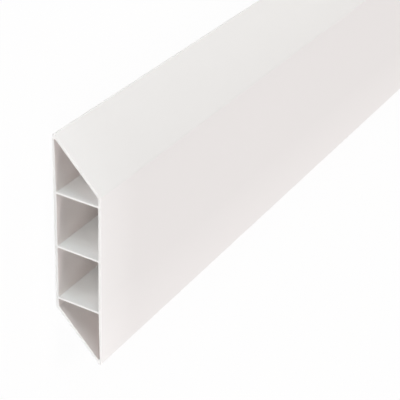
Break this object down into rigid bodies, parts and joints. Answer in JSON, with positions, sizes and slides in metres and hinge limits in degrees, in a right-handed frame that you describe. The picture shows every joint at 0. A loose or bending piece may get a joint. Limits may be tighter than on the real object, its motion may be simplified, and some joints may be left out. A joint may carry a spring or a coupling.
{
  "type": "fence slat",
  "caption": "Hollow white plastic fence slat, extruded with a parallelogram section: broad front and back faces, bevelled long edges and square webs inside.",
  "frame": {"origin": "middle of the footprint, on the surface that the slat lies on with its back face", "axes": "+X along the slat, +Y across it towards the acute edge of the back face, +Z through its thickness towards the front face"},
  "size_m": [1.8, 0.1222, 0.027],
  "materials": {
    "white_pvc": "satin, smooth as extruded, with sawn ends"
  },
  "bodies": {
    "root": {"slat": "white_pvc"}
  },
  "joints": []
}
